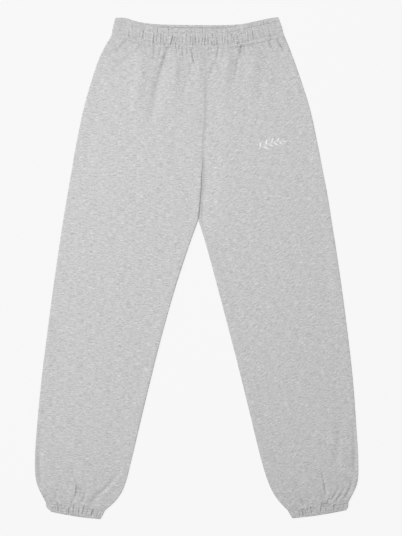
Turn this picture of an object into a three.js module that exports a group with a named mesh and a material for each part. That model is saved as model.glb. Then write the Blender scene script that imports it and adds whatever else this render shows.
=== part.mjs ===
// Jogger sweatpants of brushed fleece, laid flat with the front up.
// Two leg tubes of a front and a back panel, a gathered elastic waistband in two halves
// and a gathered elastic casing at each hem. Left and right are the viewer's.
// Millimetres: X to the right, Y towards the waist, Z up from the surface underneath.
import * as THREE from 'three';

// Driving dimensions
const FLEECE = 2.8; // wall of the leg panels
const CASING = 4.2; // wall of the waistband and hem casings, two layers round an elastic
const SEAM_GAP = 0.3; // between neighbouring pieces
const EDGE_RADIUS = 4.7; // rounding of the side edges, where the cloth turns under
const EDGE_SETTLE = 26; // width over which the body settles from an edge to its loft
const SEAM_DIP = 0.9; // how far the cloth is drawn in at a seam
const SEAM_DIP_WIDTH = 3;
const BOW_FADE = 150; // length over which the bow of the waist seam dies out below it

// Gathers: waves in all, height of a wave to each side, and how far they run from their seam
const WAIST_GATHERS = { waves: 8, height: 0.5, run: 26 };
const HEM_GATHERS = { waves: 5, height: 0.5, run: 16 };
const BAND_GATHERS = { waves: 36, height: 0.65, from: 0.12, to: 0.93 };
const CASING_GATHERS = { waves: 13, height: 0.6, from: 0.06, to: 0.94 };
const GATHER_END = 0.03; // share of a row of gathers over which its ends die out
// Unevenness of gathers: shift in waves, share of the height, and turns of each for a wave
const UNEVEN = { shift: 0.25, shiftTurn: 1.7, height: 0.25, heightTurn: 2.3 };

// Colour of the grey marl fleece
const MARL = 0xc6c6c6;

const QUARTER_TURN = Math.PI / 2;
const QUARTER_ARC = EDGE_RADIUS * QUARTER_TURN;
const EDGE_HEIGHT = 2 * EDGE_RADIUS;

// Turns rows of numbers into objects with named columns.
function table(columns, rows) {
  return rows.map((row) => Object.fromEntries(columns.map((column, i) => [column, row[i]])));
}

// Sections of the legs, from the waist seam down. A section runs straight from the outer edge
// at `level` to the inner edge at `innerY`. Above the fork both inner edges are the centre seam.
// turn: degrees through which the cloth turns under at the inner edge.
// wrap: width of back panel that shows on the front beside the inseam.
// rows: rows of faces down to the next section.
const SECTIONS = table(
  ['level', 'innerY', 'leftOuter', 'leftInner', 'rightInner', 'rightOuter', 'loft', 'turn', 'wrap', 'rows'],
  [
    [487.0, 458.6, -179.0, 18.3, 18.3, 184.2, 9.0, 0, 0, 3], // waist seam
    [447.7, 420.4, -200.8, 18.3, 18.3, 199.9, 8.8, 0, 0, 2], // yoke
    [395.2, 370.0, -219.7, 17.6, 17.6, 218.4, 8.4, 0, 0, 2], // belly
    [331.2, 311.2, -237.7, 14.7, 14.7, 238.4, 8.2, 0, 0, 2], // hip
    [248.2, 235.6, -254.7, 9.2, 9.2, 256.0, 8.2, 0, 0, 1], // seat
    [206.2, 199.9, -261.7, 7.8, 7.8, 264.0, 8.3, 45, 0, 2], // valley above the crotch
    [167.4, 164.2, -268.8, 6.5, 6.5, 271.7, 8.4, 90, 0, 1], // crotch seam
    [134.8, 130.6, -274.1, 5.3, 5.3, 277.4, 8.4, 90, 9, 1], // start of the inseams
    [109.6, 101.2, -278.5, 3.6, 3.6, 281.2, 8.4, 90, 10, 2], // fork
    [57.1, 44.5, -286.4, -16.8, 21.0, 289.6, 8.2, 90, 10, 2], // upper thigh
    [-24.8, -50.0, -298.4, -47.5, 46.6, 301.8, 8.2, 90, 5, 2], // thigh
    [-129.8, -165.5, -312.5, -79.4, 76.9, 315.8, 8.2, 90, 0, 2], // knee
    [-234.8, -289.4, -325.5, -110.0, 107.9, 327.6, 8.2, 90, 0, 2], // shin
    [-339.8, -398.6, -335.4, -135.9, 134.6, 335.2, 8.4, 90, 0, 2], // calf
    [-407.0, -455.3, -339.2, -150.8, 152.7, 338.9, 8.8, 90, 0, 2], // low calf
    [-451.1, -485.0, -335.2, -167.6, 169.7, 336.4, 9.2, 90, 0, 3], // ankle
    [-491.0, -508.4, -316.3, -192.4, 191.3, 318.2, 9.2, 90, 0, 0], // hem seam
  ],
);
const FORK = 8; // row of the table where the legs part
const LAST_SECTION = SECTIONS.length - 1;

// Edges of the waistband: the waist seam, and the top edges of its front and back.
const BAND_EDGES = table(['x', 'seam', 'frontTop', 'backTop'], [
  [-179.1, 487.6, 524.8, 524.8],
  [-150.0, 479.2, 524.8, 524.8],
  [-127.0, 471.2, 517.2, 518.7],
  [-102.0, 464.6, 510.1, 514.3],
  [-72.0, 461.2, 504.8, 512.0],
  [0.0, 459.0, 503.4, 510.7],
  [62.0, 460.0, 504.0, 510.9],
  [95.0, 463.4, 510.3, 513.0],
  [137.0, 472.8, 520.8, 521.6],
  [165.0, 479.6, 526.0, 526.4],
  [184.2, 486.8, 526.9, 526.9],
]);
const BAND_TOP = { left: -171.2, right: 172.4 }; // ends of the top edge
const BAND_BOTTOM = { left: -179.0, right: 184.2 }; // ends of the waist seam
const BACK_SEAM = { lowest: 466, dip: 21.2 }; // the back is cut higher, so its seam dips less

// Rows of the waistband's outer face, from the waist seam (0) to the top edge (1).
const BAND_ROWS = table(['up', 'lift', 'gather'], [
  [0.0, -0.7, 0.4], // waist seam
  [0.22, -0.6, 0.7], // lower stitch line
  [0.36, 0.2, 1.0], // elastic channel
  [0.66, 0.2, 1.0],
  [0.8, -0.6, 0.7], // header stitch line
  [0.9, 0.0, 0.8],
  [1.0, -1.0, 0.5], // top edge
]);

// Hem casings: ends of the hem seam and of the bottom edge, and how far the bottom edge bows out.
const CASINGS = [
  {
    name: 'left',
    seam: [[-316.3, -491.0], [-192.4, -508.4]],
    bottom: [[-306.8, -510.5], [-201.8, -526.3]],
    bow: 2,
  },
  {
    name: 'right',
    seam: [[191.3, -508.4], [318.2, -491.0]],
    bottom: [[200.3, -523.5], [314.8, -507.0]],
    bow: 2,
  },
];
const CASING_CORNER = 3; // power by which the ends curve in to the bottom edge
const CASING_ROWS = table(['up', 'lift', 'gather'], [
  [0.0, -0.8, 0.4], // hem seam
  [0.25, 0.0, 1.0],
  [0.6, 0.1, 1.0],
  [0.85, -0.3, 0.7],
  [1.0, -1.4, 0.4], // bottom edge
]);

// Largest folds of the front, as troughs with a soft ridge to each side: three points that the
// fold runs through, its depth, its half width and the share of its depth that it starts with.
const FOLD_COLUMNS = ['x1', 'y1', 'x2', 'y2', 'x3', 'y3', 'depth', 'half', 'start'];
const FOLDS = table(FOLD_COLUMNS, [
  [-70, 459, -85, 364, -115, 233, 1.8, 7, 0.7], // long fold down the left front
  [-10, 457, -6, 429, -24, 360, 1.4, 5, 0.7], // left of the centre seam
  [43, 459, 32, 416, 15, 389, 1.4, 5, 0.8], // runs into the centre seam
  [89, 464, 85, 416, 76, 391, 1.6, 6, 0.9], // right front
  [-134, 473, -152, 464, -184, 452, 1.2, 5, 0.6], // left side, below the waistband
  [-118, 467, -146, 441, -186, 412, 1.1, 7, 0.6],
  [168, 479, 177, 470, 186, 455, 1.1, 5, 0.6], // right side, below the waistband
  [10, 236, 14, 165, 12, 103, 1.2, 9, 0.2], // right of the crotch valley
  [-254, -440, -254, -466, -261, -492, 1.5, 4, 0.3], // left hem
  [-164, -430, -194, -458, -220, -496, 1.5, 5, 0.3],
  [263, -438, 267, -459, 271, -480, 1.4, 4, 0.3], // right hem
  [292, -466, 283, -480, 274, -492, 1.2, 4, 0.4],
  [307, -462, 301, -476, 291, -488, 1.2, 4, 0.4],
  [324, -445, 320, -466, 304, -489, 1.2, 4, 0.4],
  [295, -312, 295, -382, 294, -451, 0.8, 12, 0.2],
]);
const FOLD_SAMPLES = 16; // points along a fold to measure from
const FOLD_PEAK = 0.35; // share of its length at which a fold is deepest
const RIDGE = { share: 0.3, place: 1.9 }; // height and distance of the ridges, in depths and half widths

// Columns of faces
const FRONT_COLUMNS = { edge: 4, body: 22 };
const BACK_COLUMNS = { inner: 6, body: 10, edge: 4 };
const BAND_COLUMNS = { edge: 4, wave: 4 };
const BACK_BAND_COLUMNS = { edge: 4, body: 20 };
const UNDERSIDE_COLUMNS = { edge: 4, body: 6 };
const PLAIN_ROWS = table(['up', 'lift', 'gather'], [[0, 0, 0], [1, 0, 0]]);

const { smoothstep, lerp, degToRad } = THREE.MathUtils;

// Smooth height over x through points sorted either way.
function smoothCurve(xs, ys) {
  const order = xs.map((x, i) => i).sort((i, j) => xs[i] - xs[j]);
  const points = order.map((i) => [xs[i], ys[i]]);
  const slopes = points.map((point, i) => {
    const before = points[Math.max(i - 1, 0)];
    const after = points[Math.min(i + 1, points.length - 1)];
    return (after[1] - before[1]) / (after[0] - before[0]);
  });
  return (x) => {
    const next = points.findIndex((point) => point[0] > x);
    const i = next === -1 ? points.length - 2 : Math.max(next - 1, 0);
    const [x0, y0] = points[i];
    const [x1, y1] = points[i + 1];
    const span = x1 - x0;
    const u = (x - x0) / span;
    const rise = y0 * (1 - u) ** 2 * (1 + 2 * u) + y1 * u ** 2 * (3 - 2 * u);
    return rise + span * u * (1 - u) * (slopes[i] * (1 - u) - slopes[i + 1] * u);
  };
}

// Straight lines between the sections for what must not overshoot.
function straightCurve(column) {
  return (level) => {
    const next = SECTIONS.findIndex((row) => row.level < level);
    const i = next === -1 ? LAST_SECTION : Math.max(next, 1);
    const above = SECTIONS[i - 1];
    const below = SECTIONS[i];
    return lerp(below[column], above[column], (level - below.level) / (above.level - below.level));
  };
}

function sectionCurve(column, rows) {
  return smoothCurve(rows.map((row) => row.level), rows.map((row) => row[column]));
}

const bandX = BAND_EDGES.map((row) => row.x);
const waistSeam = smoothCurve(bandX, BAND_EDGES.map((row) => row.seam));
const frontTop = smoothCurve(bandX, BAND_EDGES.map((row) => row.frontTop));
const backTop = smoothCurve(bandX, BAND_EDGES.map((row) => row.backTop));
const bandMiddle = (BAND_BOTTOM.left + BAND_BOTTOM.right) / 2;
const halfBand = BAND_BOTTOM.right - bandMiddle;
const backSeam = (x) => BACK_SEAM.lowest + BACK_SEAM.dip * ((x - bandMiddle) / halfBand) ** 2;
const loftAt = straightCurve('loft');
const turnAt = straightCurve('turn');
const wrapAt = straightCurve('wrap');
const topLevel = SECTIONS[0].level;

// Plan of a leg: its outer and inner edge at a level. side is -1 on the left and 1 on the right.
function makeLeg(outerColumn, innerColumn, side) {
  const outerX = sectionCurve(outerColumn, SECTIONS);
  const seamX = sectionCurve(innerColumn, SECTIONS.slice(0, FORK + 1));
  const seamY = sectionCurve('innerY', SECTIONS.slice(0, FORK + 1));
  const inseamX = sectionCurve(innerColumn, SECTIONS.slice(FORK));
  const inseamY = sectionCurve('innerY', SECTIONS.slice(FORK));
  const forkLevel = SECTIONS[FORK].level;
  const outer = (level) => new THREE.Vector2(outerX(level), level);
  const inner = (level) => {
    const above = level > forkLevel;
    const x = above ? seamX(level) : inseamX(level);
    const y = above ? seamY(level) : inseamY(level);
    return new THREE.Vector2(x + side * SEAM_GAP / 2, y);
  };
  const hem = { from: outer(SECTIONS[LAST_SECTION].level), to: inner(SECTIONS[LAST_SECTION].level) };
  return { outer, inner, hem, side };
}

// Point in plan at a reach from the outer edge, with the bow of the panel's waist seam.
function legPlan(leg, level, reach, seam) {
  const outer = leg.outer(level);
  const inner = leg.inner(level);
  const share = reach / outer.distanceTo(inner);
  const point = outer.lerp(inner, share);
  const top = leg.outer(topLevel).lerp(leg.inner(topLevel), share);
  const fade = 1 - smoothstep(topLevel - level, 0, BOW_FADE);
  point.y += (seam(top.x) - top.y) * fade;
  return { point, share };
}

// Path of a section's outer face from the outer edge at mid height, over the top, to the inner
// edge, where the cloth has turned under by `turn`. The way back underneath mirrors it.
function sectionPath(width, turn) {
  const flat = width - EDGE_RADIUS * (1 + Math.sin(turn));
  const length = QUARTER_ARC + flat + EDGE_RADIUS * turn;
  const upper = (s) => {
    if (s < QUARTER_ARC) {
      const angle = s / EDGE_RADIUS;
      const normal = [-Math.cos(angle), Math.sin(angle)];
      return { reach: EDGE_RADIUS * (1 + normal[0]), height: EDGE_RADIUS * (1 + normal[1]), normal };
    }
    const angle = Math.max(s - QUARTER_ARC - flat, 0) / EDGE_RADIUS;
    const normal = [Math.sin(angle), Math.cos(angle)];
    const straight = Math.min(s - QUARTER_ARC, flat);
    return {
      reach: EDGE_RADIUS * (1 + normal[0]) + straight,
      height: EDGE_RADIUS * (1 + normal[1]),
      normal,
    };
  };
  const at = (s) => {
    if (s <= length) {
      return { ...upper(s), top: true };
    }
    const { reach, height, normal } = upper(2 * length - s);
    return { reach, height: EDGE_HEIGHT - height, normal: [normal[0], -normal[1]], top: false };
  };
  return { at, length };
}

const foldLines = FOLDS.map((fold) => {
  const points = [[fold.x1, fold.y1], [fold.x2, fold.y2], [fold.x3, fold.y3]];
  const curve = new THREE.CatmullRomCurve3(points.map(([x, y]) => new THREE.Vector3(x, y, 0)));
  return { ...fold, samples: curve.getPoints(FOLD_SAMPLES) };
});

// Height that one fold adds at a point in plan.
function foldLift(fold, point) {
  let nearest = Infinity;
  let share = 0;
  fold.samples.forEach((sample, i) => {
    const distance = Math.hypot(sample.x - point.x, sample.y - point.y);
    if (distance < nearest) {
      nearest = distance;
      share = i / FOLD_SAMPLES;
    }
  });
  const grow = lerp(fold.start, 1, smoothstep(share, 0, FOLD_PEAK));
  const fade = 1 - smoothstep(share, FOLD_PEAK, 1);
  const across = nearest / fold.half;
  const ridge = RIDGE.share * Math.exp(-((across - RIDGE.place) ** 2));
  return fold.depth * grow * fade * (ridge - Math.exp(-(across ** 2)));
}

// Uneven wave: phase runs from 0 to 1 over the whole row of gathers.
function gatherWave(phase, waves) {
  const place = phase * waves;
  const unevenPlace = place + UNEVEN.shift * Math.sin(place * UNEVEN.shiftTurn);
  const unevenHeight = 1 - UNEVEN.height * (1 + Math.sin(place * UNEVEN.heightTurn));
  return Math.cos(2 * Math.PI * unevenPlace) * unevenHeight;
}

// Height that sink, folds, gathers and seams add to the upper face of a leg.
function legLift(leg, level, share, point, s, path) {
  const turned = turnAt(level) / 90;
  const fromOuter = smoothstep(s - QUARTER_ARC, 0, EDGE_SETTLE);
  const fromInner = smoothstep(path.length - s - QUARTER_ARC * turned, 0, EDGE_SETTLE);
  const settle = Math.min(fromOuter, lerp(1, fromInner, turned));
  const folds = foldLines.reduce((sum, fold) => sum + foldLift(fold, point), 0);
  const { from, to } = leg.hem;
  const overHem = (from.x - to.x) * (point.y - to.y) - (from.y - to.y) * (point.x - to.x);
  const hemDistance = Math.abs(overHem) / from.distanceTo(to);
  const waistDistance = Math.max(waistSeam(point.x) - point.y, 0);
  const waist = WAIST_GATHERS.height * Math.exp(-waistDistance / WAIST_GATHERS.run);
  const hem = HEM_GATHERS.height * Math.exp(-hemDistance / HEM_GATHERS.run);
  const waistWave = waist * gatherWave(share, WAIST_GATHERS.waves);
  const hemWave = hem * gatherWave(share, HEM_GATHERS.waves);
  const seamDistance = path.length - wrapAt(level) - s;
  const dip = SEAM_DIP * Math.exp(-((seamDistance / SEAM_DIP_WIDTH) ** 2));
  return folds + waistWave + hemWave - dip - settle * (EDGE_HEIGHT - loftAt(level));
}

// Point of a leg's cloth: s along the section's path, depth in from the outer face.
function legPoint(leg, level, path, s, depth, seam) {
  const { reach, height, normal, top } = path.at(s);
  const { point, share } = legPlan(leg, level, reach - depth * normal[0], seam);
  const lift = top ? legLift(leg, level, share, point, s, path) * normal[1] : 0;
  return new THREE.Vector3(point.x, point.y, height - depth * normal[1] + lift);
}

function spread(from, to, count) {
  return Array.from({ length: count }, (_, k) => lerp(from, to, k / count));
}

// Levels of the rows of faces down a leg.
const levels = SECTIONS.flatMap((row, i) => {
  return i < LAST_SECTION ? spread(row.level, SECTIONS[i + 1].level, row.rows) : [row.level];
});

// Rings of a leg panel. stops gives the panel's places along a section's path, seam its waist seam.
function panelRings(leg, stops, seam) {
  return levels.map((level) => {
    const turn = degToRad(turnAt(level));
    const path = sectionPath(leg.outer(level).distanceTo(leg.inner(level)), turn);
    const inseamGap = SEAM_GAP / 2 * Math.sin(turn);
    const places = stops(path.length, wrapAt(level), inseamGap);
    const outer = places.map((s) => legPoint(leg, level, path, s, 0, seam));
    const innerPlaces = places.filter((s, i) => i % 2 === 0);
    const inner = innerPlaces.map((s) => legPoint(leg, level, path, s, FLEECE, seam));
    return { outer, inner };
  });
}

function frontStops(length, wrap, inseamGap) {
  const start = SEAM_GAP / 2;
  const end = length - wrap - inseamGap;
  return [
    ...spread(start, QUARTER_ARC, FRONT_COLUMNS.edge),
    ...spread(QUARTER_ARC, end - QUARTER_ARC, FRONT_COLUMNS.body),
    ...spread(end - QUARTER_ARC, end, FRONT_COLUMNS.edge),
    end,
  ];
}

function backStops(length, wrap, inseamGap) {
  const start = length - wrap + inseamGap;
  const underInner = length + QUARTER_ARC;
  const underOuter = 2 * length - QUARTER_ARC;
  const end = 2 * length - SEAM_GAP / 2;
  return [
    ...spread(start, underInner, BACK_COLUMNS.inner),
    ...spread(underInner, underOuter, BACK_COLUMNS.body),
    ...spread(underOuter, end, BACK_COLUMNS.edge),
    end,
  ];
}

// Plan of the waistband: along runs from its left end to its right, up from seam to top edge.
function bandPlan(seam, top, along, up) {
  const bottomX = lerp(BAND_BOTTOM.left, BAND_BOTTOM.right, along);
  const topX = lerp(BAND_TOP.left, BAND_TOP.right, along);
  const bottomY = seam(bottomX) + SEAM_GAP;
  return new THREE.Vector2(lerp(bottomX, topX, up), lerp(bottomY, top(topX), up));
}

// Plan of a hem casing: along runs from left to right, up from the hem seam to the bottom edge.
function casingPlan(casing, along, up) {
  const [seamLeft, seamRight] = casing.seam;
  const [bottomLeft, bottomRight] = casing.bottom;
  const corner = up ** CASING_CORNER;
  const left = lerp(seamLeft[0], bottomLeft[0], corner);
  const right = lerp(seamRight[0], bottomRight[0], corner);
  const seamY = lerp(seamLeft[1], seamRight[1], along) - SEAM_GAP;
  const bottomY = lerp(bottomLeft[1], bottomRight[1], along) - casing.bow * Math.sin(Math.PI * along);
  return new THREE.Vector2(lerp(left, right, along), lerp(seamY, bottomY, up));
}

// Ring across a gathered band at one place s of its path: outer rows, then a plain inside.
function bandRing(plan, path, width, s, rows, gathers) {
  const { reach, height, normal, top } = path.at(s);
  const place = (depth, row) => {
    const along = (reach - depth * normal[0]) / width;
    const point = plan(along, row.up);
    return new THREE.Vector3(point.x, point.y, height - depth * normal[1]);
  };
  const along = reach / width;
  const phase = (along - gathers.from) / (gathers.to - gathers.from);
  const fromEnd = Math.min(phase, 1 - phase);
  const inside = smoothstep(fromEnd, -GATHER_END, GATHER_END);
  const wave = gathers.height * inside * gatherWave(phase, gathers.waves);
  const outer = rows.map((row) => {
    const point = place(0, row);
    point.z += top ? (row.lift + row.gather * wave) * normal[1] : 0;
    return point;
  });
  return { outer, inner: [rows[0], rows[rows.length - 1]].map((row) => place(CASING, row)) };
}

// Closed solid through rings of an outer and an inner row of points. It joins up with its own
// start when it is a loop, and otherwise gets a cap at each end.
function solid(name, rings, loop) {
  const outerCount = rings[0].outer.length;
  const innerCount = rings[0].inner.length;
  const ringSize = outerCount + innerCount;
  const points = rings.flatMap((ring) => [...ring.outer, ...[...ring.inner].reverse()]);
  const faces = [];
  const strips = loop ? rings.length : rings.length - 1;
  for (let i = 0; i < strips; i += 1) {
    const next = (i + 1) % rings.length;
    for (let j = 0; j < ringSize; j += 1) {
      const k = (j + 1) % ringSize;
      const corners = [i * ringSize + j, i * ringSize + k, next * ringSize + k, next * ringSize + j];
      faces.push([corners[0], corners[1], corners[2]], [corners[0], corners[2], corners[3]]);
    }
  }
  if (!loop) {
    const cap = capFaces(outerCount, innerCount);
    const last = (rings.length - 1) * ringSize;
    faces.push(...cap, ...cap.map(([a, b, c]) => [last + a, last + c, last + b]));
  }
  return makeMesh(name, points, faces);
}

// Faces between the outer and the inner row of a ring.
function capFaces(outerCount, innerCount) {
  const innerIndex = (j) => outerCount + innerCount - 1 - j;
  const faces = [];
  let i = 0;
  let j = 0;
  while (i < outerCount - 1 || j < innerCount - 1) {
    const stepOuter = (i + 1) / (outerCount - 1) <= (j + 1) / (innerCount - 1);
    if (stepOuter) {
      faces.push([i + 1, i, innerIndex(j)]);
      i += 1;
    } else {
      faces.push([i, innerIndex(j), innerIndex(j + 1)]);
      j += 1;
    }
  }
  return faces;
}

// Mesh with its faces pointing out, whichever way the rings ran.
function makeMesh(name, points, faces) {
  const volume = faces.reduce((sum, [a, b, c]) => {
    return sum + points[a].dot(new THREE.Vector3().crossVectors(points[b], points[c]));
  }, 0);
  const outward = volume > 0 ? faces : faces.map(([a, b, c]) => [a, c, b]);
  const geometry = new THREE.BufferGeometry().setFromPoints(points);
  geometry.setIndex(outward.flat());
  geometry.computeVertexNormals();
  const material = new THREE.MeshStandardMaterial({ color: MARL, roughness: 0.95, metalness: 0 });
  const mesh = new THREE.Mesh(geometry, material);
  mesh.name = name;
  return mesh;
}

// Places along a band's path that is rounded at both ends.
function bandStops(length, columns, start, end) {
  return [
    ...spread(start, QUARTER_ARC, columns.edge),
    ...spread(QUARTER_ARC, length - QUARTER_ARC, columns.body),
    ...spread(length - QUARTER_ARC, end, columns.edge),
    end,
  ];
}

function makeWaistbandFront() {
  const width = BAND_BOTTOM.right - BAND_BOTTOM.left;
  const path = sectionPath(width, QUARTER_TURN);
  const columns = { edge: BAND_COLUMNS.edge, body: BAND_GATHERS.waves * BAND_COLUMNS.wave };
  const stops = bandStops(path.length, columns, SEAM_GAP / 2, path.length - SEAM_GAP / 2);
  const plan = (along, up) => bandPlan(waistSeam, frontTop, along, up);
  const rings = stops.map((s) => bandRing(plan, path, width, s, BAND_ROWS, BAND_GATHERS));
  return solid('waistband_front', rings, false);
}

function makeWaistbandBack() {
  const width = BAND_BOTTOM.right - BAND_BOTTOM.left;
  const path = sectionPath(width, QUARTER_TURN);
  const stops = bandStops(path.length, BACK_BAND_COLUMNS, SEAM_GAP / 2, path.length - SEAM_GAP / 2);
  const plan = (along, up) => bandPlan(backSeam, backTop, along, up);
  const rings = stops.map((s) => {
    return bandRing(plan, path, width, path.length + s, PLAIN_ROWS, BAND_GATHERS);
  });
  return solid('waistband_back', rings, false);
}

function makeHemCasing(casing) {
  const width = casing.seam[1][0] - casing.seam[0][0];
  const path = sectionPath(width, QUARTER_TURN);
  const upper = { edge: BAND_COLUMNS.edge, body: CASING_GATHERS.waves * BAND_COLUMNS.wave };
  const over = bandStops(path.length, upper, 0, path.length).slice(0, -1);
  const under = bandStops(path.length, UNDERSIDE_COLUMNS, 0, path.length).slice(0, -1);
  const stops = [...over, ...under.map((s) => path.length + s)];
  const plan = (along, up) => casingPlan(casing, along, up);
  const rings = stops.map((s) => bandRing(plan, path, width, s, CASING_ROWS, CASING_GATHERS));
  return solid(`hem_casing_${casing.name}`, rings, true);
}

const leftLeg = makeLeg('leftOuter', 'leftInner', -1);
const rightLeg = makeLeg('rightOuter', 'rightInner', 1);

const sweatpants = new THREE.Group();
sweatpants.add(
  solid('front_left', panelRings(leftLeg, frontStops, waistSeam), false),
  solid('front_right', panelRings(rightLeg, frontStops, waistSeam), false),
  solid('back_left', panelRings(leftLeg, backStops, backSeam), false),
  solid('back_right', panelRings(rightLeg, backStops, backSeam), false),
  makeWaistbandFront(),
  makeWaistbandBack(),
  ...CASINGS.map(makeHemCasing),
);

// The origin is the middle of the footprint, on the surface underneath.
const footprint = new THREE.Box3().setFromObject(sweatpants);
const middle = footprint.getCenter(new THREE.Vector3());
sweatpants.position.set(-middle.x, -middle.y, -footprint.min.z);

export default sweatpants;
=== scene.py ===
# Jogger sweatpants of brushed grey marl fleece, laid flat with the front up.
# Left and right are the viewer's. Shapes are worked out in millimetres on the frame's axes:
# X to the right, Y towards the waist, Z up from the surface underneath.
import math

import bmesh
import bpy
import numpy as np
from mathutils import Matrix, Vector
from mathutils.bvhtree import BVHTree


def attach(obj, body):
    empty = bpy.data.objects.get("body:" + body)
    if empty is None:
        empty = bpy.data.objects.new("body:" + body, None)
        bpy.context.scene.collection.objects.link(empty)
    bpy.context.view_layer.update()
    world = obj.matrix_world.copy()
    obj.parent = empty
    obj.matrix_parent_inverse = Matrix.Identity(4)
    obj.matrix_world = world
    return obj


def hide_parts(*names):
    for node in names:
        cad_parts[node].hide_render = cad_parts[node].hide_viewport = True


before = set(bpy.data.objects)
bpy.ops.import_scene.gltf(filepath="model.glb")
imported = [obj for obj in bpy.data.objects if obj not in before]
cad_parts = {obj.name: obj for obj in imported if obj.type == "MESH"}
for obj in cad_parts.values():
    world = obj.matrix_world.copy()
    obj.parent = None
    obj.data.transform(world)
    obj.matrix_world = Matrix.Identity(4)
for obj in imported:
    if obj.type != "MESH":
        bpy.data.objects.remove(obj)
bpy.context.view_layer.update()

MM = 0.001
QUARTER_TURN = math.pi / 2

# Cloth
FLEECE = 2.2  # wall of the leg panels
CASING = 4.2  # wall of the waistband and hem casings, two layers round an elastic
THINNEST = 0.6  # of that wall, at the bottom of a crease
SEAM_GAP = 0.06  # between neighbouring pieces
EDGE_RADIUS = 4.7  # rounding of the side edges, where the cloth turns under
EDGE_FULLNESS = 8.0  # 2 is a round edge, and more is a squarer one
QUARTER_ARC = EDGE_RADIUS * QUARTER_TURN
EDGE_HEIGHT = 2 * EDGE_RADIUS
EDGE_SETTLE = 26  # width over which the body settles from an edge to its loft
BOW_FADE = 150  # length over which the bow of the waist seam dies out below it
LAYER_ROOM = 0.3  # least air between front and back
RESTING = 0.1  # unevenness that the cloth's own weight presses flat underneath
FACE_UP = 0.9  # upward share of the normal on the upper face, where that air is kept
FACE_DOWN = 0.8  # downward share of the normal from which the underside may rise
WRAP_SHOWN = 3  # wrap from which the line beside the inseam is at its full depth
JUST_BELOW = 0.001  # past the end of the upper face, so that the back starts on the lower one


def table(columns, rows):
    """Rows of numbers as arrays with named columns."""
    return dict(zip(columns.split(), np.array(rows, float).T))


# Sections of the legs, from the waist seam down. A section runs straight from the outer edge
# at level to the inner edge at inner_y. turn: degrees through which the cloth turns under at
# the inner edge. wrap: width of back panel that shows on the front beside the inseam.
SECTIONS = table(
    "level inner_y left_outer left_inner right_inner right_outer loft turn wrap",
    [
        (487.0, 458.6, -179.0, 18.3, 18.3, 184.2, 9.0, 0, 0),  # waist seam
        (447.7, 420.4, -200.8, 19.3, 19.3, 199.9, 8.8, 0, 0),  # yoke
        (395.2, 370.0, -219.7, 19.8, 19.8, 218.4, 8.4, 0, 0),  # belly
        (331.2, 311.2, -237.7, 18.2, 18.2, 238.4, 8.2, 0, 0),  # hip
        (248.2, 235.6, -254.7, 12.2, 12.2, 256.0, 8.2, 0, 0),  # seat
        (206.2, 199.9, -261.7, 10.6, 10.6, 264.0, 9.0, 50, 0),  # valley above the crotch
        (167.4, 164.2, -268.8, 9.2, 9.2, 271.7, 9.1, 90, 0),  # crotch seam
        (134.8, 130.6, -274.1, 6.9, 6.9, 277.4, 9.1, 90, 9),  # start of the inseams
        (109.6, 101.2, -278.5, 3.6, 3.6, 281.2, 8.8, 90, 10),  # fork
        (57.1, 44.5, -286.4, -16.8, 21.0, 289.6, 8.2, 90, 10),  # upper thigh
        (-24.8, -50.0, -298.4, -47.5, 46.6, 301.8, 8.2, 90, 8),  # thigh
        (-129.8, -165.5, -312.5, -79.4, 76.9, 315.8, 8.2, 90, 6),  # knee
        (-234.8, -289.4, -325.5, -110.0, 107.9, 327.6, 8.2, 90, 5),  # shin
        (-339.8, -398.6, -335.4, -135.9, 134.6, 335.2, 8.4, 90, 4),  # calf
        (-407.0, -455.3, -339.2, -150.8, 152.7, 338.9, 8.8, 90, 3),  # low calf
        (-451.1, -485.0, -335.2, -167.6, 169.7, 336.4, 9.2, 90, 1),  # ankle
        (-491.0, -508.4, -316.3, -192.4, 191.3, 318.2, 9.2, 90, 0),  # hem seam
    ],
)
FORK = 8  # row of the table where the legs part
TOP_LEVEL = SECTIONS["level"][0]
HEM_LEVEL = SECTIONS["level"][-1]
PANEL_WIDTH = 270  # about the widest of a leg
OUTLINE_MIDDLE = np.array([0.065, -0.265])  # middle of the outline, moved to the frame's origin

# Edges of the waistband: the waist seam, and the top edges of its front and back
BAND_EDGES = table(
    "x seam front_top back_top",
    [
        (-179.1, 487.6, 524.8, 524.8),
        (-150.0, 479.2, 524.8, 524.8),
        (-127.0, 471.2, 517.2, 518.7),
        (-102.0, 464.6, 510.1, 514.3),
        (-72.0, 461.2, 504.8, 512.0),
        (0.0, 459.0, 503.4, 510.7),
        (62.0, 460.0, 504.0, 510.9),
        (95.0, 463.4, 510.3, 513.0),
        (137.0, 472.8, 520.8, 521.6),
        (165.0, 479.6, 526.0, 526.4),
        (184.2, 486.8, 526.9, 526.9),
    ],
)
BAND_TOP = (-171.2, 172.4)  # ends of the top edge
BAND_BOTTOM = (-179.0, 184.2)  # ends of the waist seam
BAND_WIDTH = BAND_BOTTOM[1] - BAND_BOTTOM[0]
BAND_HEIGHT = 44
BACK_SEAM = {"lowest": 466.0, "dip": 21.2}  # the back is cut higher, so its seam dips less
CHANNEL_LINE, HEADER_LINE = 0.22, 0.8  # stitch lines of the waistband, from seam to top edge

# Hem casings: ends of the hem seam and of the bottom edge, and the power by which the left and
# right end curve in from one to the other
CASINGS = {
    "left": {"seam": ((-316.3, -491.0), (-192.4, -508.4)),
             "bottom": ((-306.8, -510.5), (-200.5, -526.3)), "corners": (3, 1.2)},
    "right": {"seam": ((191.3, -508.4), (318.2, -491.0)),
              "bottom": ((199.3, -524.5), (314.8, -507.0)), "corners": (1.2, 5)},
}
CASING_HEIGHT = 17
CASING_BOW = 2  # how far the bottom edge bows out
CASING_LINE = 0.12  # stitch line of a casing, from hem seam to bottom edge
# How far a casing sinks: all of it, its bottom edge with a power of the way there, and the line
CASING_SINK = {"all": 0.2, "edge": 0.3, "power": 4, "line": 0.3}

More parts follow.
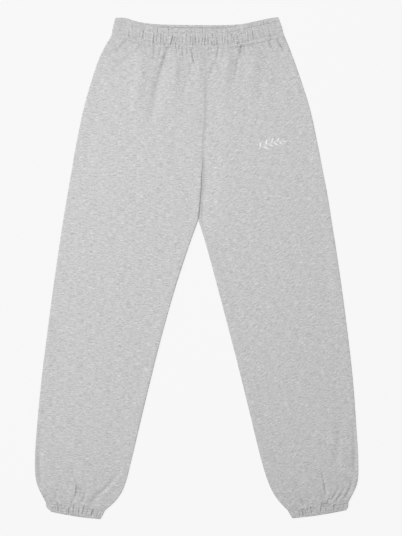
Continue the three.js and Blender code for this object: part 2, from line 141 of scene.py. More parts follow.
# Relief of the waistband from seam to top edge: height of the plain cloth, and share of the
# gathers' height
BAND_PROFILE = table(
    "up puff grow",
    [
        (0.0, -0.4, 0.5),
        (0.1, 0.0, 0.7),
        (0.22, -0.2, 0.4),
        (0.33, 0.25, 0.9),
        (0.5, 0.3, 1.0),
        (0.7, 0.2, 0.9),
        (0.8, -0.2, 0.4),
        (0.9, 0.1, 0.6),
        (1.0, -0.7, 0.4),
    ],
)
# Depth of the sunken lines over the width: the two stitch lines and the waist seam
LINE_DEPTHS = table(
    "x channel header seam",
    [
        (-179, 0.68, 0.51, 0.51),
        (-160, 1.36, 0.51, 0.85),
        (-140, 1.53, 0.68, 1.02),
        (-120, 0.85, 0.85, 1.36),
        (-100, 0.85, 1.36, 0.68),
        (-80, 1.02, 0.51, 0.42),
        (-50, 0.85, 0.51, 0.26),
        (0, 0.68, 0.34, 0.17),
        (50, 1.02, 0.68, 0.51),
        (80, 1.53, 1.36, 1.02),
        (100, 1.6, 1.19, 1.36),
        (130, 1.36, 1.36, 1.19),
        (165, 1.02, 1.19, 0.68),
        (184, 0.51, 0.51, 0.34),
    ],
)
LINE_HALF = 1.5  # half width of a sunken line
BACK_LINE_DEPTH = 0.5  # of the stitch lines on the back
INNER_LINE = {"up": 0.86, "half": 2.4, "depth": 2.2}  # groove of the header's inside, at the back

# Small even gathers: waves in all, height, and where the row runs
BAND_GATHERS = {"waves": 43, "height": 1.2, "from": 0.1, "to": 0.95}
BAND_BACK_GATHERS = {"waves": 44, "height": 1.0, "from": 0.04, "to": 0.96}
CASING_GATHERS = {"waves": 15, "height": 0.7, "from": 0.04, "to": 0.96}
CASING_BACK_GATHERS = {"waves": 13, "height": 0.8, "from": 0.04, "to": 0.96}
# Puckers beside them: height at the waist and hem seams, length over which they die out, and
# length over which they drift sideways as much as gathers do over the height of their row
PUCKERS = {"waist": 0.75, "waist_run": 10, "hem": 0.7, "hem_run": 12, "drift": 40}
PAINTED_PUCKER_SHADE_RUN = 60  # length over which the cloth is painted darker beside a gathered edge, as painted shade of small puckers
GATHER_END = 0.03  # share of a row of gathers over which its ends die out
GATHER_SHARPNESS = 0.7  # power of the wave: under 1 gives round ridges and narrow creases
# How uneven gathers are, each as an amount, turn for each wave and start: how they shift along the
# row, how they drift on their way up it, and how their size varies round its mean
GATHER_SHIFTS = ((0.28, 1.7, 0), (0.16, 4.3, 1))
GATHER_DRIFT = (0.35, 1.31, 0.6)
GATHER_SIZE = 0.62
GATHER_SIZES = ((0.25, 2.3, 0), (0.13, 5.1, 2))

# Creases are troughs with a soft ridge to each side: three points that the crease runs through,
# depth, half width, share of the depth at its start, place of the deepest point, and height of
# the left and right ridge as shares of the depth.
CREASE_COLUMNS = "x1 y1 x2 y2 x3 y3 depth half start peak left right"
FRONT_CREASES = table(
    CREASE_COLUMNS,
    [
        (-58.7, 460.5, -68.7, 428.5, -74.7, 394.5, 3.8, 4, 0.6, 0.5, 0.2, 0.3),  # long fold, left front
        (-67.7, 444.5, -82.7, 370.5, -111.7, 240.5, 4.5, 9, 0.3, 0.4, 0, 0.2),
        (-94.7, 371.5, -88.7, 365.5, -81.7, 353.5, 1.4, 3.2, 0.5, 0.5, 0, 0),
        (-9.7, 457.5, -5.7, 439.5, -2.7, 425.5, 5, 2.7, 0.5, 0.5, 0.3, 0.2),  # left of the centre seam
        (-11.7, 426.5, -11.7, 414.5, -13.7, 402.5, 2.2, 2.8, 0.6, 0.5, 0.2, 0.1),
        (-16.7, 408.5, -22.7, 383.5, -27.7, 350.5, 1.6, 5, 0.3, 0.4, 0.2, 0.1),
        (46.3, 460.5, 45.3, 450.5, 44.3, 436.5, 3.2, 2.6, 0.4, 0.5, 0.2, 0.2),  # to the centre seam
        (43.3, 440.5, 33.3, 414.5, 20.3, 386.5, 1.9, 4, 0.5, 0.5, 0.2, 0.1),
        (30.3, 350.5, 42.3, 324.5, 34.3, 290.5, 1.4, 8, 0.5, 0.5, 0, 0),
        (93.3, 462.5, 90.3, 444.5, 86.3, 426.5, 2, 3.6, 0.9, 0.3, 0.3, 0),  # right front
        (86.3, 436.5, 83.3, 412.5, 79.3, 382.5, 2.2, 3.2, 0.5, 0.3, 0.3, 0.1),
        (101.3, 461.5, 98.3, 444.5, 92.3, 418.5, 3.4, 6.5, 0.9, 0.3, 0, 0.2),
        (-147.7, 476.5, -163.7, 459.5, -187.7, 448.5, 2.8, 3.2, 0.6, 0.4, 0.3, 0.2),  # below the waistband
        (-116.7, 466.5, -124.7, 457.5, -136.7, 445.5, 2.2, 3, 0.8, 0.3, 0.3, 0.2),
        (-133.7, 448.5, -155.7, 430.5, -187.7, 408.5, 1.9, 6.5, 0.5, 0.4, 0.2, 0.3),
        (-87.7, 464.5, -88.7, 444.5, -92.7, 418.5, 2, 3.2, 0.7, 0.3, 0.2, 0.2),
        (-101.7, 462.5, -102.7, 454.5, -104.7, 444.5, 0.9, 2, 0.6, 0.5, 0.3, 0.3),
        (-75.7, 460.5, -76.7, 450.5, -79.7, 436.5, 1.6, 2.2, 0.7, 0.4, 0.3, 0.3),
        (-51.7, 460.5, -51.7, 450.5, -52.7, 432.5, 1.4, 2, 0.7, 0.4, 0.3, 0.3),
        (-40.7, 458.5, -40.7, 452.5, -41.7, 442.5, 1, 1.8, 0.7, 0.4, 0.3, 0.3),
        (-28.7, 459.5, -27.7, 449.5, -27.7, 438.5, 3.2, 2.2, 0.7, 0.4, 0.3, 0.2),
        (5.3, 457.5, 4.3, 448.5, 2.3, 434.5, 0.7, 2, 0.7, 0.4, 0.3, 0.3),
        (24.3, 457.5, 26.3, 448.5, 26.3, 436.5, 0.8, 2, 0.7, 0.4, 0.3, 0.3),
        (60.3, 458.5, 62.3, 450.5, 66.3, 438.5, 0.6, 2.2, 0.7, 0.4, 0.3, 0.3),
        (110.3, 463.5, 114.3, 456.5, 120.3, 446.5, 2.2, 2.4, 1, 0.1, 0.3, 0.3),
        (130.3, 468.5, 134.3, 460.5, 142.3, 450.5, 1.2, 2.8, 0.7, 0.4, 0.3, 0.3),
        (153.3, 474.5, 158.3, 465.5, 166.3, 450.5, 2.6, 2.8, 0.9, 0.3, 0.3, 0.3),  # its right end
        (172.3, 477.5, 180.3, 464.5, 192.3, 448.5, 3.8, 3.4, 0.7, 0.4, 0.3, 0.3),
        (124.3, 460.5, 144.3, 444.5, 168.3, 436.5, 1.2, 8, 0.5, 0.5, 0, 0),
        (-113.7, 450.5, -119.7, 390.5, -139.7, 290.5, -4, 15, 0.2, 0.4, 0, 0),  # swells between the folds
        (-41.7, 448.5, -47.7, 398.5, -65.7, 280.5, -3.2, 11, 0.3, 0.4, 0, 0),
        (7.3, 448.5, 4.3, 398.5, 0.3, 328.5, -2.2, 8, 0.4, 0.4, 0, 0),
        (66.3, 450.5, 62.3, 408.5, 54.3, 328.5, -3.2, 11, 0.4, 0.3, 0, 0),
        (120.3, 446.5, 116.3, 398.5, 112.3, 328.5, -2.4, 15, 0.3, 0.3, 0, 0),
        (-252.7, -444.5, -250.7, -464.5, -255.7, -483.5, 5, 2.4, 0.2, 0.5, 0.3, 0.2),  # left hem
        (-254.7, -479.5, -259.7, -491.5, -259.7, -504.5, 1.8, 3, 0.4, 0.5, 0.2, 0.2),
        (-159.7, -423.5, -180.7, -450.5, -211.7, -482.5, 2.3, 4, 0.4, 0.75, 0.2, 0.1),
        (-206.7, -475.5, -216.7, -489.5, -220.7, -507.5, 2.8, 6, 0.8, 0.3, 0, 0.2),
        (-232.7, -469.5, -236.7, -483.5, -241.7, -497.5, 1.8, 3.4, 0.4, 0.6, 0.2, 0.2),
        (-292.7, -467.5, -293.7, -479.5, -297.7, -495.5, 2, 3.2, 0.9, 0.4, 0.2, 0.2),
        (-313.7, -479.5, -307.7, -491.5, -300.7, -501.5, 2.7, 5, 0.6, 0.5, 0, 0.1),
        (-325.7, -340.5, -328.7, -401.5, -323.7, -463.5, 4.2, 6, 0.4, 0.7, 0, 0.1),
        (264.3, -433.5, 270.3, -459.5, 274.3, -483.5, 3.4, 2.7, 0.5, 0.45, 0.3, 0.2),  # right hem
        (295.3, -464.5, 288.3, -478.5, 274.3, -492.5, 2.5, 2.6, 0.4, 0.7, 0.3, 0.2),
        (309.3, -462.5, 301.3, -477.5, 291.3, -489.5, 2.2, 2.6, 0.4, 0.8, 0.3, 0.2),
        (325.3, -441.5, 321.3, -465.5, 305.3, -484.5, 2.8, 3.4, 0.5, 0.8, 0.3, 0.2),
        (280.3, -478.5, 276.3, -487.5, 273.3, -495.5, 2.4, 2.2, 0.4, 0.6, 0.3, 0.3),
        (216.3, -472.5, 222.3, -486.5, 229.3, -500.5, 2.6, 2.8, 0.3, 0.6, 0.3, 0.3),
        (311.3, -442.5, 320.3, -440.5, 339.3, -441.5, 1.2, 1.6, 0.5, 0.5, 0.3, 0.3),
        (301.3, -318.5, 298.3, -371.5, 284.3, -434.5, 1.7, 7.5, 0.4, 0.6, 0, 0.1),
        (329.3, -325.5, 332.3, -391.5, 329.3, -452.5, 3, 5.5, 0.4, 0.6, 0.1, 0),
        (264, -495.5, 274, -496.5, 290, -495.5, 6, 3.3, 0.5, 0.35, 0, 0.1),  # pit at the right hem
    ],
)
# The same on the underside, where the troughs rise from the flat cloth
BACK_CREASES = table(
    CREASE_COLUMNS,
    [
        (-120, 470, -128, 440, -140, 395, 1.5, 3.5, 0.7, 0.3, 0, 0),  # below the waistband
        (-84, 468, -86, 448, -92, 415, 1.2, 2.8, 0.7, 0.3, 0, 0),
        (-46, 466, -50, 430, -60, 350, 1.7, 5.0, 0.7, 0.3, 0, 0),
        (-20, 466, -18, 450, -22, 425, 1.1, 2.5, 0.7, 0.3, 0, 0),
        (34, 466, 30, 445, 28, 410, 1.4, 3.0, 0.7, 0.3, 0, 0),
        (70, 467, 80, 420, 104, 330, 1.8, 5.5, 0.7, 0.3, 0, 0),
        (108, 469, 112, 452, 120, 428, 1.1, 2.8, 0.7, 0.3, 0, 0),
        (150, 474, 158, 455, 176, 430, 1.3, 3.2, 0.7, 0.3, 0, 0),
        (6, 196, -32, 178, -86, 176, 1.7, 5.0, 0.8, 0.3, 0, 0),  # seat to crotch
        (8, 188, 50, 166, 112, 160, 1.6, 5.5, 0.8, 0.3, 0, 0),
        (2, 222, -30, 212, -62, 216, 1.2, 4.0, 0.7, 0.3, 0, 0),
        (-44, 60, -92, 44, -150, 50, 1.2, 7.0, 0.3, 0.5, 0, 0),  # thighs
        (50, 20, 120, 4, 190, 12, 1.2, 7.0, 0.3, 0.5, 0, 0),
        (-140, -160, -190, -172, -250, -158, 1.4, 6.0, 0.3, 0.5, 0, 0),  # behind the knees
        (-152, -186, -196, -192, -236, -184, 1.0, 5.0, 0.3, 0.5, 0, 0),
        (130, -190, 200, -176, 262, -186, 1.4, 6.0, 0.3, 0.5, 0, 0),
        (-290, -300, -297, -380, -290, -450, 1.2, 9.0, 0.3, 0.5, 0, 0),
        (-250, -440, -250, -465, -256, -492, 1.7, 3.0, 0.2, 0.8, 0, 0),  # above the left hem
        (-212, -452, -222, -474, -230, -496, 1.6, 3.0, 0.2, 0.8, 0, 0),
        (-285, -462, -284, -476, -280, -490, 1.3, 2.6, 0.2, 0.8, 0, 0),
        (232, -446, 236, -470, 240, -496, 1.6, 3.0, 0.2, 0.8, 0, 0),  # above the right hem
        (268, -438, 264, -466, 258, -494, 1.7, 3.0, 0.2, 0.8, 0, 0),
        (300, -458, 292, -474, 284, -490, 1.4, 2.6, 0.2, 0.8, 0, 0),
    ],
)
CREASE_STEPS = 24  # steps along a crease, from whose ends the distance to it is measured
RIDGE_PLACE = 1.9  # distance of the ridges, in half widths
RIDGE_FADE = 2  # distance beyond the ridges where a crease ends, in half widths


def straight_creases(rows):
    """Short straight creases: both ends, depth and half width."""
    creases = table("x1 y1 x3 y3 depth half", rows)
    same = np.ones(len(rows))
    creases["x2"] = (creases["x1"] + creases["x3"]) / 2
    creases["y2"] = (creases["y1"] + creases["y3"]) / 2
    return creases | {"start": 0.8 * same, "peak": 0.6 * same, "left": 0.3 * same, "right": 0.3 * same}


# Gather creases of the front waistband: y is the height above the waist seam
BAND_CREASES = straight_creases(
    [
        (-139.7, 8.5, -139.7, 22.5, 2.2, 2.2),
        (-124.7, 9.5, -123.7, 21.5, 1.7, 3),
        (-117.7, 16.5, -115.7, 27.5, 1, 1.8),
        (-110.7, 14.5, -110.7, 33.5, 2.2, 1.6),
        (-104.7, 14.5, -105.7, 30.5, 1.2, 1.6),
        (-99.7, 16.5, -101.7, 31.5, 1.3, 1.4),
        (-89.7, 8.5, -86.7, 34.5, 3.4, 1.6),
        (-82.7, 14.5, -82.7, 31.5, 2.6, 1.6),
        (-80.7, 31.5, -80.7, 46.5, 2.3, 1.6),
        (-74.7, 5.5, -73.7, 17.5, 2, 1.4),
        (-73.7, 15.5, -73.7, 33.5, 3.4, 1.4),
        (-65.7, 6.5, -64.7, 14.5, 2, 2),
        (-61.7, 13.5, -62.7, 28.5, 1.4, 1.4),
        (-57.7, 37.5, -57.7, 46.5, 1.9, 1.6),
        (-53.7, 8.5, -47.7, 33.5, 3.4, 1.4),
        (-48.7, 12.5, -41.7, 30.5, 2, 1.4),
        (-42.7, 1.5, -42.7, 18.5, 2.3, 1.4),
        (-37.7, 26.5, -38.7, 40.5, 1.6, 1.4),
        (-35.7, -0.5, -35.7, 7.5, 2.3, 1.6),
        (-27.7, 13.5, -27.7, 32.5, 1.9, 1.4),
        (-20.7, 20.5, -19.7, 35.5, 1.3, 1.4),
        (-10.7, 14.5, -10.7, 30.5, 3.2, 1.4),
        (-8.7, 36.5, -8.7, 46.5, 1.7, 1.4),
        (-6.7, 8.5, -6.7, 33.5, 3.4, 1.4),
        (-1.7, 14.5, -2.7, 33.5, 2.3, 1.4),
        (6.3, 10.5, 6.3, 27.5, 1.9, 1.6),
        (12.3, 11.5, 13.3, 26.5, 2.9, 1.4),
        (13.3, 36.5, 13.3, 45.5, 1.6, 1.6),
        (18.3, 9.5, 19.3, 31.5, 3.4, 1.4),
        (25.3, 12.5, 26.3, 26.5, 1.3, 1.4),
        (33.3, 10.5, 34.3, 28.5, 3.3, 1.4),
        (37.3, 37.5, 36.3, 46.5, 1.6, 1.4),
        (37.3, 14.5, 38.3, 28.5, 2.6, 1.4),
        (44.3, 9.5, 44.3, 22.5, 2.8, 1.4),
        (50.3, 21.5, 50.3, 34.5, 1.6, 1.4),
        (61.3, 12.5, 60.3, 28.5, 3.3, 1.6),
        (67.3, 10.5, 65.3, 33.5, 1.6, 1.6),
        (80.3, 13.5, 77.3, 26.5, 2.9, 1.6),
        (77.3, 25.5, 69.3, 34.5, 1.9, 1.6),
        (90.3, 12.5, 85.3, 27.5, 2.6, 1.6),
        (88.3, 8.5, 91.3, 9.5, 3.4, 2.5),
        (94.3, -0.5, 95.3, 5.5, 2.6, 1.9),
        (109.3, 10.5, 108.3, 33.5, 2.2, 1.6),
        (121.3, 13.5, 116.3, 32.5, 2.3, 1.6),
        (134.3, 34.5, 135.3, 43.5, 1.3, 1.4),
        (142.3, 35.5, 141.3, 44.5, 1.3, 1.4),
        (156.3, 8.5, 155.3, 16.5, 1.4, 2.2),
    ]
)
# Gather creases of the hem casings, seen on the front
CASING_CREASES = straight_creases(
    [
        (-301.8, -496.3, -298.8, -506.8, 1.8, 1.6),
        (-295.8, -496.3, -292.8, -508.8, 1.8, 1.5),
        (-291.3, -493.3, -286.5, -513.8, 3.4, 1.8),
        (-271.8, -509.3, -270.8, -518.8, 2.5, 1.5),
        (-266.8, -504.3, -266.8, -519.8, 3.4, 1.9),
        (-257.1, -496.3, -257.1, -514.8, 3.4, 1.6),
        (-245.8, -505.3, -246.8, -516.8, 1.4, 1.5),
        (-234.8, -499.3, -239, -519.8, 3.4, 1.8),
        (-226.8, -504.3, -227.8, -516.8, 1.7, 1.5),
        (-216.6, -507.3, -220.4, -521.8, 3.4, 1.9),
        (-206.8, -511.3, -208.8, -522.8, 1.4, 1.5),
        (215.2, -509.3, 218.2, -521.8, 1.8, 1.5),
        (222.8, -506.3, 225.7, -521.8, 3.4, 1.8),
        (229.2, -507.3, 230.2, -518.8, 1.4, 1.5),
        (233.2, -503.3, 235.2, -513.8, 1.7, 1.5),
        (240.2, -502.3, 243.8, -515.8, 3.4, 1.8),
        (261.4, -501.3, 261, -512.8, 3.4, 1.8),
        (272.2, -500.3, 272.2, -510.8, 1.7, 1.5),
        (289.1, -497.3, 289.1, -508.8, 3.4, 1.8),
        (300.2, -496.3, 300.2, -507.8, 1.7, 1.5),
        (310.2, -494.3, 309.2, -504.8, 1.5, 1.5),
    ]
)

# Both sides sink to the centre seam: how far, and over what width. The right side goes on to dip
# beyond the seam, at most beside the valley above the crotch, where the left side swells up.
CENTRE = table(
    "level left left_run right right_run dip fall",
    [
        (450, 0.0, 3.0, 0.0, 30, 0.0, 4),
        (425, 0.8, 3.5, 0.8, 40, 0.5, 4),
        (400, 1.2, 4.0, 1.2, 40, 0.6, 4),
        (370, 1.6, 4.5, 1.6, 45, 1.1, 5),
        (320, 1.6, 4.0, 1.6, 45, 0.9, 6),
        (280, 1.2, 4.0, 1.2, 45, 0.9, 5),
        (250, 1.4, 4.5, 1.4, 45, 1.2, 5),
        (230, 0.2, 6.0, 1.6, 45, 2.6, 7),
        (205, -1.7, 18.0, 2.0, 48, 2.6, 9),
        (110, -1.7, 18.0, 2.0, 48, 2.5, 10),
        (84, 0.0, 18.0, 0.0, 30, 0.0, 12),
    ],
)
INSEAM_LINE = {"sink": 0.3, "half": 1.5}  # beside the inseam, on the front
PLAIN_LINE = {"sink": 0.1, "half": 1.6}  # of the hem seams

# Size of the faces of a panel: across it, and along its two ends and its middle
PANEL_FACES = {
    "front": {"across": 1.75, "ends": 1.8, "middle": 5.0, "ends_length": 100},
    "back": {"across": 3.4, "ends": 2.6, "middle": 5.0, "ends_length": 100},
}
EDGE_FACES = 8  # faces round a quarter turn
# Size of the faces of a strip: along it, and up its outside, inside and opening
BAND_FACE = {"along": 0.8, "outside": 1.0, "inside": 4.0, "opening": 1.4}
OPENING = 0.7  # share of a strip's height above which its inside shows and has finer faces
ROLL_FACES = 8  # faces round the folded edge of a waistband or casing
WELD = 0.02  # distance under which points of a strip are one

# Sewing: distance from stitch to stitch, and half length, half width and half height of each
STITCH_PITCH = 3.0
STITCH = (1.15, 0.34, 0.26)
WALK = 0.4  # step with which a line of sewing is measured
# Sprig of leaves in satin stitch on the right thigh: its stem, and the leaves along it, which grow
# shorter and narrower by a share of their size towards the tip. spread is the angle of a leaf to
# the stem, and slant that of its stitches to the leaf. at is the place of a leaf in its own stretch
# of the stem, and a power under 1 makes a leaf widest nearer the stem.
STEM = {"from": (128, 248), "to": (180, 266), "bow": 5.0, "stitches": 26, "stitch": (1.5, 0.5, 0.4)}
AIM = 0.01  # share of the stem before and behind a leaf that gives its direction there
LEAVES = {"count": 9, "at": 0.9, "length": 14.5, "shorter": 0.35, "width": 6.2, "narrower": 0.3,
          "power": 0.8, "spread": 50, "slant": 62, "from_stem": 0.6}
LEAF_STITCH = {"pitch": 0.6, "from": 0.06, "to": 0.98, "past": 0.3, "wide": 0.36, "high": 0.42}
ABOVE = 100  # height from which the sprig is let down onto the cloth

# Turn of the cloth's grain in the pieces, in degrees
GRAIN = {"left": -1, "right": 21, "band": 0, "casing_left": -8, "casing_right": 8}
CLOTH_STEP = (1.37, 0.61)  # metres of cloth from the place of one piece on it to the next one's

# Marl of the fleece. A noise is the width and height of its spots in millimetres of cloth, its
# detail and its roughness, and it has a share in the mix of the two yarns.
MARL = {
    "flecks": ((8.0, 1.2, 2.0, 0.6), 1.15),
    "streaks": ((20.0, 1.3, 2.0, 0.6), 0.95),
    "fibres": ((3.4, 0.8, 2.0, 0.6), 1.15),
    "mottle": ((24.0, 8.0, 1.0, 0.5), 0.07),
}
DARK_YARN, LIGHT_YARN = 0.37, 0.75
PAINTED_PUCKER_SHADE_SHARE = 0.11  # share of the mix by which cloth is painted darker where it is gathered, as painted shade of small puckers
GRAIN_BEND = {"noise": (40.0, 60.0, 1.0, 0.5), "reach": 14}  # how the rows of knit wander
# Relief of the knit face: size of a loop and slant of its legs, and heights in the bump
KNIT = {"column": 1.2, "course": 0.9, "slant": 1.4, "loop": 0.6, "rib": 0.25}
FUZZ = {"noise": (0.9, 0.7, 3.0, 0.7), "height": 1.2, "flecks": 1.5}
TWIST = 0.45  # pitch of the twist of a thread

# Studio, in metres. The floor lies just under the garment and glows.
WORLD_STRENGTH = 0.35
SOFTBOX = {"at": (-1.1, 0.8, 3.0), "aim": (-0.1, 0.1, 0.0), "size": 1.0, "watts": 86.5}
FLOOR_GLOW = 0.89
FLOOR = {"half": 6, "below": 0.0004}
CAMERA_AT = (0.00903, 0.00074, 2.661)
LENS, SENSOR = 85, 36  # millimetres


def smoothstep(x, low=0.0, high=1.0):
    share = np.clip((x - low) / (high - low), 0, 1)
    return share * share * (3 - 2 * share)


def smooth_curve(xs, ys):
    """Smooth height over x through points in either order."""
    order = np.argsort(xs)
    xs, ys = xs[order], ys[order]
    before = np.maximum(np.arange(len(xs)) - 1, 0)
    after = np.minimum(np.arange(len(xs)) + 1, len(xs) - 1)
    slopes = (ys[after] - ys[before]) / (xs[after] - xs[before])

    def height(x):
        i = np.clip(np.searchsorted(xs, x, side="right") - 1, 0, len(xs) - 2)
        span = xs[i + 1] - xs[i]
        u = (x - xs[i]) / span
        rise = ys[i] * (1 - u) ** 2 * (1 + 2 * u) + ys[i + 1] * u**2 * (3 - 2 * u)
        return rise + span * u * (1 - u) * (slopes[i] * (1 - u) - slopes[i + 1] * u)

    return height


def section_value(column):
    """Straight lines between the sections for what must not overshoot."""
    return lambda level: np.interp(level, SECTIONS["level"][::-1], SECTIONS[column][::-1])


loft_at = section_value("loft")
turn_at = section_value("turn")
wrap_at = section_value("wrap")
waist_seam = smooth_curve(BAND_EDGES["x"], BAND_EDGES["seam"])
front_top = smooth_curve(BAND_EDGES["x"], BAND_EDGES["front_top"])
back_top = smooth_curve(BAND_EDGES["x"], BAND_EDGES["back_top"])


def back_seam(x):
    share = (x - sum(BAND_BOTTOM) / 2) / (BAND_WIDTH / 2)
    return BACK_SEAM["lowest"] + BACK_SEAM["dip"] * share**2


def line_depth(column, x):
    return np.interp(x, LINE_DEPTHS["x"], LINE_DEPTHS[column])


class Leg:
    """Plan of a leg tube that lies flat. side is -1 on the left and 1 on the right."""

    def __init__(self, side):
        self.side = side
        self.word = "left" if side < 0 else "right"
        above, below = slice(0, FORK + 1), slice(FORK, None)
        levels, inner, inner_y = (SECTIONS[key] for key in ("level", self.word + "_inner", "inner_y"))
        self.outer_x = smooth_curve(levels, SECTIONS[self.word + "_outer"])
        self.centre = smooth_curve(levels[above], inner[above]), smooth_curve(levels[above], inner_y[above])
        self.inseam = smooth_curve(levels[below], inner[below]), smooth_curve(levels[below], inner_y[below])

    def outer(self, level):
        return np.stack([self.outer_x(level), level], 1)

    def inner(self, level):
        above = level > SECTIONS["level"][FORK]
        x, y = (np.where(above, self.centre[i](level), self.inseam[i](level)) for i in range(2))
        return np.stack([x + self.side * SEAM_GAP / 2, y], 1)

    def width(self, level):
        return np.linalg.norm(self.inner(level) - self.outer(level), axis=1)

    def plan(self, level, reach, seam):
        """Point at a reach from the outer edge, with the bow of the panel's waist seam."""
        outer, inner = self.outer(level), self.inner(level)
        share = reach / np.linalg.norm(inner - outer, axis=1)
        point = outer + (inner - outer) * share[:, None]
        full = np.full(len(level), TOP_LEVEL)
        top_outer, top_inner = self.outer(full), self.inner(full)
        top = top_outer + (top_inner - top_outer) * share[:, None]
        point[:, 1] += (seam(top[:, 0]) - top[:, 1]) * (1 - smoothstep(TOP_LEVEL - level, 0, BOW_FADE))
        return point, share


def fuller(x, z):
    """How much further out than a round edge's the edge of the cloth lies in a direction."""
    return (np.abs(x) ** EDGE_FULLNESS + np.abs(z) ** EDGE_FULLNESS) ** (-1 / EDGE_FULLNESS)


def section_path(width, turn, s):
    """Outer face of a flat tube at s along its section, from the outer edge at mid height over
    the top to the inner edge, and on underneath: reach, height, normal, top and length."""
    flat = width - EDGE_RADIUS * (1 + np.sin(turn) * fuller(np.sin(turn), np.cos(turn)))
    length = QUARTER_ARC + flat + EDGE_RADIUS * turn
    top = s <= length
    t = np.where(top, s, 2 * length - s)
    outer_angle = np.clip(t / EDGE_RADIUS, 0, QUARTER_TURN)
    inner_angle = np.maximum(t - QUARTER_ARC - flat, 0) / EDGE_RADIUS
    normal_x = np.sin(inner_angle) - np.cos(outer_angle)
    normal_z = np.sin(outer_angle) * np.cos(inner_angle) * np.where(top, 1, -1)
    full = EDGE_RADIUS * fuller(normal_x, normal_z)
    reach = EDGE_RADIUS + full * normal_x + np.clip(t - QUARTER_ARC, 0, flat)
    height = EDGE_RADIUS + full * normal_z
    return reach, height, normal_x, normal_z, top, length


def crease_lift(creases, x, y):
    """Height that all creases of a table add at points in plan."""
    lift = np.zeros(len(x))
    share = np.linspace(0, 1, CREASE_STEPS + 1)
    weights = [(1 - share) * (1 - 2 * share), 4 * share * (1 - share), share * (2 * share - 1)]
    for row in zip(*creases.values()):
        c = dict(zip(creases, row))
        line_x = sum(w * c[f"x{k}"] for k, w in enumerate(weights, 1))
        line_y = sum(w * c[f"y{k}"] for k, w in enumerate(weights, 1))
        reach = (RIDGE_PLACE + RIDGE_FADE) * c["half"]
        near = (x > line_x.min() - reach) & (x < line_x.max() + reach)
        near &= (y > line_y.min() - reach) & (y < line_y.max() + reach)
        away_x, away_y = x[near, None] - line_x, y[near, None] - line_y
        distance = np.hypot(away_x, away_y)
        nearest = distance.argmin(axis=1)
        pick = np.arange(len(nearest)), nearest
        run_x, run_y = np.gradient(line_x)[nearest], np.gradient(line_y)[nearest]
        on_right = run_x * away_y[pick] - run_y * away_x[pick] < 0
        along = share[nearest]
        grow = c["start"] + (1 - c["start"]) * smoothstep(along, 0, c["peak"])
        size = c["depth"] * grow * (1 - smoothstep(along, c["peak"], 1))
        across = distance[pick] / c["half"]
        ridge = np.where(on_right, c["right"], c["left"]) * np.exp(-((across - RIDGE_PLACE) ** 2))
        lift[near] += size * (ridge - np.exp(-(across**2)))
    return lift


def sway(place, *sways):
    """Sum of sine waves over the places of a row."""
    return sum(amount * np.sin(place * turn + start) for amount, turn, start in sways)


def gather_wave(phase, waves, up):
    """Uneven gathers from -1 to 1: phase runs from 0 to 1 over the row, up over their length."""
    place = phase * waves
    place = place + sway(place, *GATHER_SHIFTS)
    place = place + (up - 0.5) * sway(place, GATHER_DRIFT)
    size = GATHER_SIZE + sway(place, *GATHER_SIZES)
    ridge = np.abs(np.sin(math.pi * place)) ** GATHER_SHARPNESS
    return size * (2 * ridge - 1)


def gathered(along, gathers, up):
    """Gathers of a row at shares along it and up it."""
    phase = (along - gathers["from"]) / (gathers["to"] - gathers["from"])
    ends = smoothstep(np.minimum(phase, 1 - phase), -GATHER_END, GATHER_END)
    return ends * gather_wave(phase, gathers["waves"], up)


def groove(distance, half):
    return np.exp(-((distance / half) ** 2))


def hem_distance(leg, point):
    """How far a point in plan lies above the hem seam."""
    hem = np.full(1, HEM_LEVEL)
    start, end = leg.outer(hem)[0], leg.inner(hem)[0]
    run = (end - start) / np.linalg.norm(end - start)
    away = point - start
    return np.abs(run[0] * away[:, 1] - run[1] * away[:, 0])


def pucker_lift(leg, point, share, seam):
    """Height of the small puckers that run out from the gathered waist and hem."""
    below_waist = np.maximum(seam(point[:, 0]) - point[:, 1], 0)
    band_along = (point[:, 0] - BAND_BOTTOM[0]) / BAND_WIDTH
    waist = gathered(band_along, BAND_GATHERS, -below_waist / PUCKERS["drift"])
    above_hem = hem_distance(leg, point)
    hem_along = share if leg.side < 0 else 1 - share
    hem = gathered(hem_along, CASING_GATHERS, -above_hem / PUCKERS["drift"])
    waist_size = PUCKERS["waist"] * np.exp(-below_waist / PUCKERS["waist_run"])
    hem_size = PUCKERS["hem"] * np.exp(-above_hem / PUCKERS["hem_run"])
    return waist_size * waist + hem_size * hem, below_waist, above_hem


def centre_sink(leg, level, away):
    """How far the front sinks at a distance from the centre seam."""
    columns = (leg.word, leg.word + "_run", "dip", "fall")
    sink, run, dip, fall = (np.interp(level, CENTRE["level"][::-1], CENTRE[key][::-1]) for key in columns)
    if leg.side > 0:
        sink = sink + dip * (1 - (1 - np.clip(away / fall, 0, 1)) ** 2)
    return sink * (1 - smoothstep(away / run))


def front_lift(leg, level, s, length, point, share):
    """Height that settling, creases, gathers and seams add to the upper face of a leg."""
    x, y = point.T
    turned = turn_at(level) / 90  # share of a quarter turn
    from_inner = length - s - QUARTER_ARC * turned
    settle_inner = smoothstep(from_inner, 0, EDGE_SETTLE)
    settle = np.minimum(smoothstep(s - QUARTER_ARC, 0, EDGE_SETTLE), 1 + (settle_inner - 1) * turned)
    lift = -settle * (EDGE_HEIGHT - loft_at(level)) + crease_lift(FRONT_CREASES, x, y)
    puckers, below_waist, above_hem = pucker_lift(leg, point, share, waist_seam)
    lift += puckers + crease_lift(CASING_CREASES, x, y) + crease_lift(BAND_CREASES, x, -below_waist)
    lift -= line_depth("seam", x) * groove(below_waist, LINE_HALF)
    lift -= PLAIN_LINE["sink"] * groove(above_hem, PLAIN_LINE["half"])
    from_seam = length - wrap_at(level) - s
    wrapped = np.clip(wrap_at(level) / WRAP_SHOWN, 0, 1)
    lift -= wrapped * INSEAM_LINE["sink"] * groove(from_seam, INSEAM_LINE["half"])
    return lift - centre_sink(leg, level, from_inner + EDGE_RADIUS * turned)


